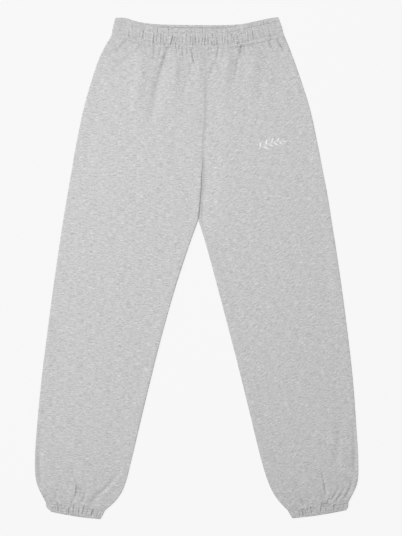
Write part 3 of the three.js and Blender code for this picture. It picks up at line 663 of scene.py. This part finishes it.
def back_rise(leg, point, share):
    """How far creases and puckers lift the underside from the surface underneath."""
    puckers, _, _ = pucker_lift(leg, point, share, back_seam)
    return np.maximum(-crease_lift(BACK_CREASES, *point.T) - puckers - RESTING, 0)


def leg_place(leg, level, s, seam):
    """Outer face of a leg at a level and a place along its section, and the flat pattern there."""
    width = leg.width(level)
    reach, height, _, normal_z, top, length = section_path(width, np.radians(turn_at(level)), s)
    point, share = leg.plan(level, reach, seam)
    over = height + front_lift(leg, level, s, length, point, share) * normal_z
    over = np.where(normal_z > FACE_UP, np.maximum(over, 2 * FLEECE + LAYER_ROOM), over)
    under = height + back_rise(leg, point, share) * smoothstep(-normal_z, FACE_DOWN, 1)
    around = np.where(top, s, 2 * length - s)
    pattern, _ = leg.plan(level, around - QUARTER_ARC + EDGE_RADIUS, seam)
    return np.column_stack([point, np.where(top, over, under)]), pattern


def spaced(start, end, size):
    """Places from start to before end, about size apart."""
    return np.linspace(start, end, max(round(abs(end - start) / size), 1), endpoint=False)


def row_levels(face):
    """Levels of the rows of faces down a leg, closer at its ends."""
    upper, lower = TOP_LEVEL - face["ends_length"], HEM_LEVEL + face["ends_length"]
    top, middle = spaced(TOP_LEVEL, upper, face["ends"]), spaced(upper, lower, face["middle"])
    return np.concatenate([top, middle, spaced(lower, HEM_LEVEL, face["ends"]), [HEM_LEVEL]])


def three_stretches(u, marks, body):
    """Share u of a way in three stretches, of which the outer two have EDGE_FACES faces."""
    index = u * (body + 2 * EDGE_FACES)
    first = marks[0] + (marks[1] - marks[0]) * np.clip(index / EDGE_FACES, 0, 1)
    middle = (marks[2] - marks[1]) * np.clip((index - EDGE_FACES) / body, 0, 1)
    last = (marks[3] - marks[2]) * np.clip((index - EDGE_FACES - body) / EDGE_FACES, 0, 1)
    return first + middle + last


def finished(name, bm, material, wall=None):
    """Object of a finished bmesh, in metres. wall adds a thickness to the inside of a sheet."""
    mesh = bpy.data.meshes.new(name)
    bm.to_mesh(mesh)
    bm.free()
    for polygon in mesh.polygons:
        polygon.use_smooth = True
    mesh.materials.append(material)
    piece = bpy.data.objects.new(name, mesh)
    bpy.context.scene.collection.objects.link(piece)
    if wall:
        thick = piece.modifiers.new("wall", "SOLIDIFY")
        thick.thickness = wall * MM
        thick.offset = -1
    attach(piece, "root")
    return piece


def shaped_grid(columns, rows, place, grain, piece_number, facing, corner_rows=(), painted_pucker_shade_at=None):
    """Sheet whose points a function places from their shares across and along, with its flat
    pattern as a UV map turned to the grain. facing is the way its outside should look along Z.
    painted_pucker_shade_at gives how much painted shade of small puckers the cloth gets at points in plan,
    from 0 to 1; without it the whole piece gets the full painted shade."""
    bm = bmesh.new()
    uv = bm.loops.layers.uv.new("grain")
    corner = bm.verts.layers.int.new("corner")
    # Painted shade of small puckers near gathered edges, kept in the attribute gathered
    pucker_shade_paint = bm.verts.layers.float.new("gathered")
    bmesh.ops.create_grid(bm, x_segments=columns, y_segments=rows, size=0.5)
    shares = np.array([vert.co[:2] for vert in bm.verts]) + 0.5
    at_corner = np.isin(np.round(shares[:, 1] * rows), corner_rows)
    points, pattern = place(shares[:, 0], shares[:, 1])
    amounts = painted_pucker_shade_at(points[:, :2]) if painted_pucker_shade_at else np.ones(len(points))
    points[:, :2] -= OUTLINE_MIDDLE
    angle = math.radians(grain)
    turn = np.array([[math.cos(angle), math.sin(angle)], [-math.sin(angle), math.cos(angle)]])
    pattern = pattern @ turn.T * MM + piece_number * np.array(CLOTH_STEP)
    for vert, point, is_corner, amount in zip(bm.verts, points * MM, at_corner, amounts):
        vert.co = point
        vert[corner] = int(is_corner)
        vert[pucker_shade_paint] = amount
    bm.verts.index_update()
    for face in bm.faces:
        for loop in face.loops:
            loop[uv].uv = pattern[loop.vert.index]
    if facing:
        bm.normal_update()
        if sum(face.normal.z for face in bm.faces) * facing < 0:
            bmesh.ops.reverse_faces(bm, faces=bm.faces)
        for edge in bm.edges:
            edge.smooth = not edge.is_boundary
    return bm


def make_panel(leg, half, material, number):
    """A leg panel, from its side seam to its inner seam. half is front or back."""
    face = PANEL_FACES[half]
    levels = row_levels(face)
    body = round(PANEL_WIDTH / face["across"])

    def place(u, v):
        level = np.interp(v * (len(levels) - 1), np.arange(len(levels)), levels)
        turn = np.radians(turn_at(level))
        length = section_path(leg.width(level), turn, 0 * u)[-1]
        inner_seam = length - wrap_at(level)
        gap = SEAM_GAP / 2 * np.sin(turn)
        if half == "front":
            end = inner_seam - gap
            marks = (SEAM_GAP / 2, QUARTER_ARC, end - QUARTER_ARC, end)
            return leg_place(leg, level, three_stretches(u, marks, body), waist_seam)
        far = 2 * length
        start = inner_seam + np.maximum(gap, JUST_BELOW)
        marks = (start, length + QUARTER_ARC, far - QUARTER_ARC, far - SEAM_GAP / 2)
        return leg_place(leg, level, three_stretches(u, marks, body), back_seam)

    # Painted shade of the puckers, fading away from the waist and hem seams
    def painted_pucker_shade_at(point):
        seam = waist_seam if half == "front" else back_seam
        below_waist = np.maximum(seam(point[:, 0]) - point[:, 1], 0)
        return np.exp(-np.minimum(below_waist, hem_distance(leg, point)) / PAINTED_PUCKER_SHADE_RUN)

    facing = 1 if half == "front" else -1
    columns = body + 2 * EDGE_FACES
    grain = GRAIN[leg.word]
    bm = shaped_grid(columns, len(levels) - 1, place, grain, number, facing, painted_pucker_shade_at=painted_pucker_shade_at)
    return finished(f"leg_{half}_{leg.word}", bm, material, FLEECE)


def band_plan(seam, top, along, up, over):
    """Plan of the waistband: along from its left end to its right, up from seam to top edge."""
    bottom_x = BAND_BOTTOM[0] + BAND_WIDTH * along
    top_x = BAND_TOP[0] + (BAND_TOP[1] - BAND_TOP[0]) * along
    bottom_y = seam(bottom_x) + SEAM_GAP
    x = bottom_x + (top_x - bottom_x) * up
    y = bottom_y + (top(top_x) - CASING / 2 - bottom_y) * up + over
    return np.stack([x, y], 1)


def casing_plan(casing, along, up, over):
    """Plan of a hem casing: along from left to right, up from the hem seam to the bottom edge."""
    seam, bottom = np.array(casing["seam"]), np.array(casing["bottom"])
    left, right = (seam[i, 0] + (bottom[i, 0] - seam[i, 0]) * up**casing["corners"][i] for i in range(2))
    seam_y = seam[0, 1] + (seam[1, 1] - seam[0, 1]) * along - SEAM_GAP
    bottom_y = bottom[0, 1] + (bottom[1, 1] - bottom[0, 1]) * along - CASING_BOW * np.sin(math.pi * along)
    x = left + (right - left) * along
    y = seam_y + (bottom_y + CASING / 2 - seam_y) * up - over
    return np.stack([x, y], 1)


def strip_rows(height):
    """Section of a strip folded over at its far edge: up, over and depth of each place, from the
    seam up the outside, round the fold and down the inside."""
    outside = spaced(0, 1, BAND_FACE["outside"] / height)
    roll = np.linspace(0, math.pi, ROLL_FACES, endpoint=False)
    opening = spaced(1, OPENING, BAND_FACE["opening"] / height)
    inside = np.concatenate([opening, spaced(OPENING, 0, BAND_FACE["inside"] / height), [0]])
    up = np.concatenate([outside, np.ones(len(roll)), inside])
    over = np.concatenate([0 * outside, CASING / 2 * np.sin(roll), 0 * inside])
    depth = np.concatenate([0 * outside, CASING / 2 * (1 - np.cos(roll)), 0 * inside + CASING])
    return up, over, depth


class Strip:
    """A gathered strip, folded over at its far edge, whose section lies on a flat tube."""

    def __init__(self, name, width, height, plan, relief, inner=0.0):
        self.name, self.width, self.height, self.plan, self.relief = name, width, height, plan, relief
        self.inner = inner  # depth of the groove on its inside
        self.length = 2 * QUARTER_ARC + width - 2 * EDGE_RADIUS  # of one face of the tube

    def at(self, s, up, over, depth):
        """Point at a place along the section, and the flat pattern there."""
        wide, turn = np.full(len(s), self.width), np.full(len(s), QUARTER_TURN)
        reach, height, normal_x, normal_z, top, _ = section_path(wide, turn, s)
        flat = self.plan(reach / self.width, up, over)
        relief = self.relief(reach / self.width, up, top, flat[:, 0], flat[:, 1])
        relief = np.maximum(relief, THINNEST - CASING)
        inner = self.inner * groove((up - INNER_LINE["up"]) * self.height, INNER_LINE["half"])
        sunk = depth - relief * (1 - depth / CASING) - inner * depth / CASING
        point = self.plan((reach - sunk * normal_x) / self.width, up, over)
        pattern_x = np.where(top, s, 2 * self.length - s)
        pattern = np.stack([pattern_x, up * self.height + over + depth], 1)
        return np.column_stack([point, height - sunk * normal_z]), pattern

    def make(self, s_range, grain, number, material):
        """The strip between two places along the section, closed by caps unless it is a tube."""
        up, over, depth = strip_rows(self.height)
        start, end = s_range
        tube = end - start > 2 * self.length - SEAM_GAP
        columns = round((end - start) / BAND_FACE["along"])

        def place(u, v):
            index = np.round(v * len(up)).astype(int) % len(up)
            u = np.where(tube & (u > 1 - 0.5 / columns), 0, u)
            return self.at(start + u * (end - start), up[index], over[index], depth[index])

        bm = shaped_grid(columns, len(up), place, grain, number, 0, (0, len(up) - 1, len(up)))
        bmesh.ops.remove_doubles(bm, verts=bm.verts, dist=WELD * MM)
        corner = bm.verts.layers.int["corner"]
        for edge in bm.edges:
            edge.smooth = not (edge.is_boundary or edge.verts[0][corner] and edge.verts[1][corner])
        if not tube:
            open_edges = [edge for edge in bm.edges if edge.is_boundary]
            bmesh.ops.holes_fill(bm, edges=open_edges, sides=0)
        bmesh.ops.recalc_face_normals(bm, faces=bm.faces)
        return finished(self.name, bm, material)


def band_relief(along, up, top, x, y):
    """Height of the front waistband: plain cloth, even gathers, gather creases and stitch lines."""
    puff, grow = (np.interp(up, BAND_PROFILE["up"], BAND_PROFILE[key]) for key in ("puff", "grow"))
    relief = puff + grow * BAND_GATHERS["height"] * gathered(along, BAND_GATHERS, up)
    relief += crease_lift(BAND_CREASES, x, up * BAND_HEIGHT) + crease_lift(FRONT_CREASES, x, y)
    for line, column in ((CHANNEL_LINE, "channel"), (HEADER_LINE, "header"), (0, "seam")):
        relief -= line_depth(column, x) * groove((up - line) * BAND_HEIGHT, LINE_HALF)
    return relief


def back_band_relief(along, up, top, x, y):
    """The same on the back, where the flat underside lets the gathers only sink."""
    relief = BAND_BACK_GATHERS["height"] * (gathered(along, BAND_BACK_GATHERS, up) - 1)
    for line in (CHANNEL_LINE, HEADER_LINE):
        relief -= BACK_LINE_DEPTH * groove((up - line) * BAND_HEIGHT, LINE_HALF)
    return relief


def casing_relief(along, up, top, x, y):
    over = CASING_GATHERS["height"] * gathered(along, CASING_GATHERS, up)
    over += crease_lift(CASING_CREASES, x, y) + crease_lift(FRONT_CREASES, x, y)
    over -= PLAIN_LINE["sink"] * groove(up * CASING_HEIGHT, PLAIN_LINE["half"])
    over -= CASING_SINK["all"] + CASING_SINK["edge"] * up ** CASING_SINK["power"]
    under = CASING_BACK_GATHERS["height"] * (gathered(along, CASING_BACK_GATHERS, up) - 1)
    line = CASING_SINK["line"] * groove((up - CASING_LINE) * CASING_HEIGHT, PLAIN_LINE["half"])
    return np.where(top, over, under) - line


def band_strip(half):
    seam, top, relief, inner = {
        "front": (waist_seam, front_top, band_relief, 0),
        "back": (back_seam, back_top, back_band_relief, INNER_LINE["depth"]),
    }[half]

    def plan(along, up, over):
        return band_plan(seam, top, along, up, over)

    return Strip(f"waistband_{half}_strip", BAND_WIDTH, BAND_HEIGHT, plan, relief, inner)


def casing_strip(side):
    casing = CASINGS[side]
    width = casing["seam"][1][0] - casing["seam"][0][0]

    def plan(along, up, over):
        return casing_plan(casing, along, up, over)

    return Strip(f"hem_casing_{side}_strip", width, CASING_HEIGHT, plan, casing_relief)


def thread_stitch(bm, centre, run, facing, long, wide, high):
    """A short raised thread: a long round body along run, its height along facing."""
    run = run.normalized()
    side = facing.cross(run).normalized()
    turn = Matrix((run, side, run.cross(side))).transposed().to_4x4()
    size = Matrix.Diagonal((long * MM, wide * MM, high * MM, 1))
    matrix = Matrix.Translation(centre) @ turn @ size
    bmesh.ops.create_uvsphere(bm, u_segments=6, v_segments=4, radius=1, matrix=matrix)


def make_stitches(strip, s_range, lines, material):
    """Rows of stitches along a strip, sunk by half into its outside."""
    bm = bmesh.new()
    s = np.arange(s_range[0], s_range[1], WALK)
    for line in lines:
        path, _ = strip.at(s, np.full(len(s), line), 0 * s, 0 * s)
        inside, _ = strip.at(s, np.full(len(s), line), 0 * s, np.full(len(s), CASING / 2))
        for points in (path, inside):
            points[:, :2] -= OUTLINE_MIDDLE
        walked = np.concatenate([[0], np.cumsum(np.linalg.norm(np.diff(path, axis=0), axis=1))])
        runs = np.gradient(path, axis=0)
        for place in np.arange(STITCH_PITCH / 2, walked[-1], STITCH_PITCH):
            i = int(np.searchsorted(walked, place))
            out = Vector(path[i] - inside[i])
            thread_stitch(bm, Vector(path[i] * MM), Vector(runs[i]), out, *STITCH)
    return finished(strip.name.replace("_strip", "_stitches"), bm, material)


def make_sprig(cloth, material):
    """Sprig of satin stitched leaves on both sides of a bowed stem, sewn on the cloth."""
    surface = BVHTree.FromObject(cloth, bpy.context.evaluated_depsgraph_get())
    start, end = np.array(STEM["from"], float), np.array(STEM["to"], float)
    bm = bmesh.new()

    def stem(share):
        return start + (end - start) * share + np.array([0, STEM["bow"] * math.sin(math.pi * share)])

    def sew(centre, run, long, wide, high):
        x, y = (centre - OUTLINE_MIDDLE) * MM
        place, facing, _, _ = surface.ray_cast(Vector((x, y, ABOVE * MM)), Vector((0, 0, -1)))
        flat_run = Vector((run[0], run[1], 0))
        thread_stitch(bm, place, flat_run - flat_run.project(facing), facing, long, wide, high)

    def turned(run, degrees):
        c, s = math.cos(math.radians(degrees)), math.sin(math.radians(degrees))
        return np.array([c * run[0] - s * run[1], s * run[0] + c * run[1]])

    steps = STEM["stitches"]
    for k in range(steps):
        run = stem((k + 1) / steps) - stem(k / steps)
        sew(stem((k + 0.5) / steps), run, *STEM["stitch"])
    for k in range(LEAVES["count"]):
        share = (k + LEAVES["at"]) / LEAVES["count"]
        run = stem(share + AIM) - stem(share - AIM)
        last = k == LEAVES["count"] - 1
        side = 0 if last else (1, -1)[k % 2]
        leaf = turned(run / np.linalg.norm(run), side * LEAVES["spread"])
        strand = turned(leaf, LEAVES["slant"])
        length = LEAVES["length"] * (1 - LEAVES["shorter"] * share)
        width = LEAVES["width"] * (1 - LEAVES["narrower"] * share)
        for q in np.arange(LEAF_STITCH["from"], LEAF_STITCH["to"], LEAF_STITCH["pitch"] / length):
            half = width / 2 * math.sin(math.pi * q ** LEAVES["power"]) + LEAF_STITCH["past"]
            place = stem(share) + leaf * (LEAVES["from_stem"] + q * length)
            sew(place, strand, half, LEAF_STITCH["wide"], LEAF_STITCH["high"])
    return finished("thigh_sprig_embroidery", bm, material)


class Socket:
    """A shader socket. An expression on sockets and numbers adds its Math nodes."""

    def __init__(self, tree, socket):
        self.tree, self.socket = tree, socket

    def _math(self, operation, first, second):
        node = self.tree.nodes.new("ShaderNodeMath")
        node.operation = operation
        for entry, value in zip(node.inputs, (first, second)):
            feed(self.tree, entry, value)
        return Socket(self.tree, node.outputs[0])

    def __add__(self, other):
        return self._math("ADD", self, other)

    def __radd__(self, other):
        return self._math("ADD", other, self)

    def __sub__(self, other):
        return self._math("SUBTRACT", self, other)

    def __rsub__(self, other):
        return self._math("SUBTRACT", other, self)

    def __mul__(self, other):
        return self._math("MULTIPLY", self, other)

    def __rmul__(self, other):
        return self._math("MULTIPLY", other, self)


def feed(tree, entry, value):
    """Links a socket to an input, or sets the input's own value."""
    if isinstance(value, Socket):
        tree.links.new(value.socket, entry)
    else:
        entry.default_value = value


class Finish:
    """A material and the nodes that make it."""

    def __init__(self, name):
        self.material = bpy.data.materials.new(name)
        self.material.use_nodes = True
        self.tree = self.material.node_tree
        self.tree.nodes.clear()

    def node(self, kind, settings=(), sockets=(), output=0):
        """Any node by its type, its settings and the values or links of its sockets."""
        made = self.tree.nodes.new("ShaderNode" + kind)
        for key, value in dict(settings).items():
            setattr(made, key, value)
        for key, value in dict(sockets).items():
            feed(self.tree, made.inputs[key], value)
        return Socket(self.tree, made.outputs[output]) if made.outputs else made

    def math(self, operation, value, other=0.0):
        return self.node("Math", {"operation": operation}, {0: value, 1: other})

    def noise(self, pattern, width, height, detail=2.0, roughness=0.5):
        """Noise with spots of that width and height, in millimetres of cloth."""
        scale = (1 / (width * MM), 1 / (height * MM), 1)
        place = self.node("VectorMath", {"operation": "MULTIPLY"}, {0: pattern, 1: scale})
        sockets = {"Vector": place, "Scale": 1.0, "Detail": detail, "Roughness": roughness}
        return self.node("TexNoise", {"noise_dimensions": "2D"}, sockets)

    def surface(self, sockets):
        shader = self.node("BsdfPrincipled", (), sockets)
        self.node("OutputMaterial", (), {"Surface": shader})
        return self.material


def grey(value):
    return (value, value, value, 1.0)


def make_fleece():
    """Grey marl: light yarn with dark fibres in short flecks, knitted in fine columns of loops, and painted
    darker where it is gathered, as painted shade of small puckers that are not modelled."""
    f = Finish("grey_marl_fleece")
    pucker_shade_paint = f.node("Attribute", {"attribute_name": "gathered"}, (), 2)
    pattern = f.node("UVMap", {"uv_map": "grain"})
    drift = (f.noise(pattern, *GRAIN_BEND["noise"]) - 0.5) * (GRAIN_BEND["reach"] * MM)
    bend = f.node("CombineXYZ", (), {1: drift})
    bent = f.node("VectorMath", {"operation": "ADD"}, {0: pattern, 1: bend})
    spots = {name: f.noise(bent, *noise) for name, (noise, _) in MARL.items()}
    marl = sum((spots[name] - 0.5) * share for name, (_, share) in MARL.items())
    # Painted shade: the cloth is darker by the attribute gathered, near gathered edges and all over the
    # waistband and casings
    mix = 0.5 + marl - pucker_shade_paint * PAINTED_PUCKER_SHADE_SHARE
    yarns = {0: mix, 6: grey(DARK_YARN), 7: grey(LIGHT_YARN)}
    colour = f.node("Mix", {"data_type": "RGBA", "clamp_factor": True}, yarns, 2)
    across, down = (f.node("SeparateXYZ", (), {0: pattern}, i) for i in range(2))
    side = f.math("ABSOLUTE", f.math("FRACT", across * (1 / (KNIT["column"] * MM))) - 0.5)
    course = f.math("SINE", (down * (1 / (KNIT["course"] * MM)) + side * KNIT["slant"]) * (2 * math.pi))
    loop = 1 - f.math("POWER", f.math("ABSOLUTE", side * 4 - 1), 2.0)
    fuzz = f.noise(pattern, *FUZZ["noise"])
    height = loop * (KNIT["loop"] + KNIT["rib"] * course)
    height = height + fuzz * FUZZ["height"] + spots["flecks"] * FUZZ["flecks"]
    bump = f.node("Bump", (), {"Strength": 0.5, "Distance": 0.3 * MM, "Height": height})
    return f.surface({
        "Base Color": colour, "Roughness": 0.95, "Normal": bump,
        "Specular IOR Level": 0.15, "Sheen Weight": 0.1, "Sheen Roughness": 0.6,
    })


def make_thread(name, shade, dark):
    """Twisted sewing thread, with the twist as fine oblique lines."""
    f = Finish(name)
    place = f.node("TexCoord", (), (), 3)
    x, y = (f.node("SeparateXYZ", (), {0: place}, i) for i in range(2))
    twist = 0.5 + 0.5 * f.math("SINE", (x + y) * (2 * math.pi / (TWIST * MM)))
    colour = f.node("Mix", {"data_type": "RGBA"}, {0: twist, 6: grey(dark), 7: grey(shade)}, 2)
    bump = f.node("Bump", (), {"Strength": 0.4, "Distance": 0.08 * MM, "Height": twist})
    return f.surface({"Base Color": colour, "Roughness": 0.6, "Normal": bump, "Specular IOR Level": 0.3})


def make_floor():
    """Pale floor, mostly lit from below as on a light table, so that shadows on it stay faint."""
    f = Finish("pale_floor")
    return f.surface({
        "Base Color": grey(0.04), "Roughness": 1.0, "Specular IOR Level": 0.0,
        "Emission Color": grey(FLOOR_GLOW), "Emission Strength": 1.0,
    })


def make_stage():
    """Pale floor, even light from all round, a softbox at the upper left and a camera above."""
    bm = bmesh.new()
    bmesh.ops.create_grid(bm, x_segments=2, y_segments=2, size=FLOOR["half"])
    bmesh.ops.translate(bm, verts=bm.verts, vec=(0, 0, -FLOOR["below"]))
    mesh = bpy.data.meshes.new("floor")
    bm.to_mesh(mesh)
    bm.free()
    mesh.materials.append(make_floor())
    floor = bpy.data.objects.new("floor", mesh)
    bpy.context.scene.collection.objects.link(floor)

    world = bpy.data.worlds.new("studio")
    bpy.context.scene.world = world
    world.use_nodes = True
    backdrop = world.node_tree.nodes["Background"]
    backdrop.inputs["Color"].default_value = (1.0, 1.0, 1.0, 1.0)
    backdrop.inputs["Strength"].default_value = WORLD_STRENGTH

    key = bpy.data.lights.new("softbox", "AREA")
    key.shape = "SQUARE"
    key.size = SOFTBOX["size"]
    key.energy = SOFTBOX["watts"]
    lamp = bpy.data.objects.new("softbox", key)
    lamp.location = SOFTBOX["at"]
    lamp.rotation_euler = (Vector(SOFTBOX["aim"]) - lamp.location).to_track_quat("-Z", "Y").to_euler()
    lamp.visible_camera = False
    bpy.context.scene.collection.objects.link(lamp)

    lens = bpy.data.cameras.new("camera")
    lens.lens = LENS
    lens.sensor_width = SENSOR
    camera = bpy.data.objects.new("camera", lens)
    camera.location = CAMERA_AT
    bpy.context.scene.collection.objects.link(camera)
    bpy.context.scene.camera = camera
    bpy.context.scene.view_settings.view_transform = "Standard"


make_stage()
fleece = make_fleece()
# Tonal sewing thread, whose darkness is partly its own tone and partly painted shade of the sunken stitch
# lines
tonal_thread_with_painted_shade = make_thread("tonal_thread_with_painted_shade", 0.42, 0.28)
white_thread = make_thread("off_white_thread", 0.90, 0.78)
left_leg, right_leg = Leg(-1), Leg(1)
pieces = {
    "front_left": make_panel(left_leg, "front", fleece, 1),
    "front_right": make_panel(right_leg, "front", fleece, 2),
    "back_left": make_panel(left_leg, "back", fleece, 3),
    "back_right": make_panel(right_leg, "back", fleece, 4),
}
for number, half in enumerate(("front", "back"), 5):
    strip = band_strip(half)
    start = SEAM_GAP / 2 if half == "front" else strip.length + SEAM_GAP / 2
    stretch = (start, start + strip.length - SEAM_GAP)
    pieces[f"waistband_{half}"] = strip.make(stretch, GRAIN["band"], number, fleece)
    make_stitches(strip, stretch, (CHANNEL_LINE, HEADER_LINE), tonal_thread_with_painted_shade)
for number, side in enumerate(("left", "right"), 7):
    strip = casing_strip(side)
    round_trip = (0, 2 * strip.length)
    pieces[f"hem_casing_{side}"] = strip.make(round_trip, GRAIN[f"casing_{side}"], number, fleece)
    make_stitches(strip, round_trip, (CASING_LINE,), tonal_thread_with_painted_shade)
make_sprig(pieces["front_right"], white_thread)

for node, piece in pieces.items():
    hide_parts(node)
